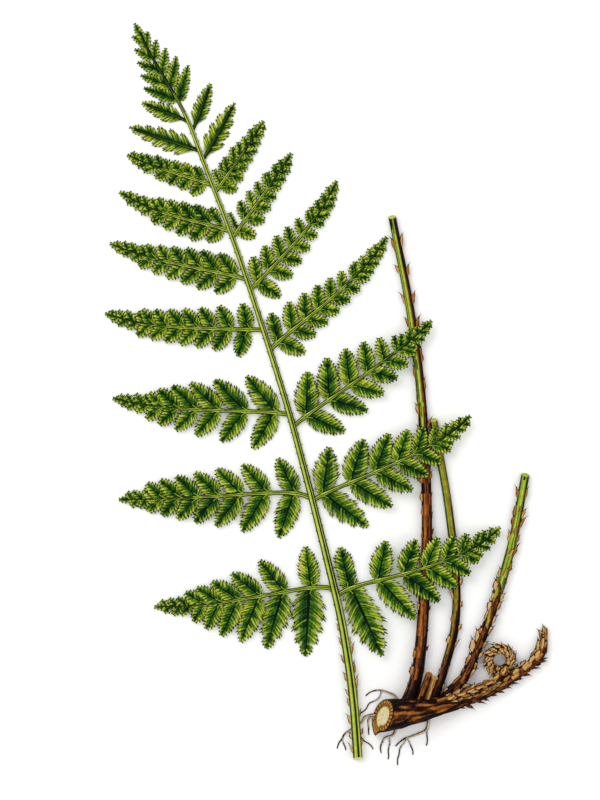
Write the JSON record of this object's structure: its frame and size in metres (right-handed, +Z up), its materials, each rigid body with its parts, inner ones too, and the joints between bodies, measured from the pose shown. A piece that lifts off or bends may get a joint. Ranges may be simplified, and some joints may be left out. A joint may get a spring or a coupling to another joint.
{
  "type": "bare-rooted narrow buckler fern",
  "caption": "Narrow buckler fern lifted from the ground: a cut divided frond lying beside its bare rootstock, with cut leaf stalks, a coiled young frond, a scaly shoot and thin roots.",
  "frame": {"origin": "on the surface that the plant lies on, under the middle of its bounding box", "axes": "+Y from the frond's cut end towards its tip, +X across the frond towards the cut stalks, +Z up from the surface"},
  "size_m": [0.2433, 0.4083, 0.0175],
  "materials": {
    "leaf": "matt leaf, darker along the veins and paler on the underside",
    "green_stalk": "satin green leaf stalk with a groove",
    "brown_stalk": "satin leaf stalk, green above and red-brown below",
    "olive_stalk": "satin leaf stalk, olive above and brown below",
    "rootstock": "rough fibrous dark brown",
    "old_stub": "dry fibrous tan",
    "scaly": "papery tan scales",
    "root": "rough cream"
  },
  "bodies": {
    "root": {"frond_stalk": "green_stalk", "pinna_right_1": "leaf", "pinna_right_2": "leaf", "pinna_right_3": "leaf", "pinna_right_4": "leaf", "pinna_right_5": "leaf", "pinna_right_6": "leaf", "pinna_right_7": "leaf", "pinna_right_8": "leaf", "pinna_right_9": "leaf", "pinna_left_1": "leaf", "pinna_left_2": "leaf", "pinna_left_3": "leaf", "pinna_left_4": "leaf", "pinna_left_5": "leaf", "pinna_left_6": "leaf", "pinna_left_7": "leaf", "pinna_left_8": "leaf", "pinna_left_9": "leaf", "frond_apex": "leaf", "rootstock": "rootstock", "stipe_tall": "brown_stalk", "stipe_middle": "olive_stalk", "stipe_right": "olive_stalk", "old_stub_left": "old_stub", "old_stub_right": "old_stub", "young_shoot": "scaly", "crozier": "scaly", "root_upper": "root", "root_left": "root", "root_small": "root", "root_lower": "root", "root_right": "root"}
  },
  "joints": []
}
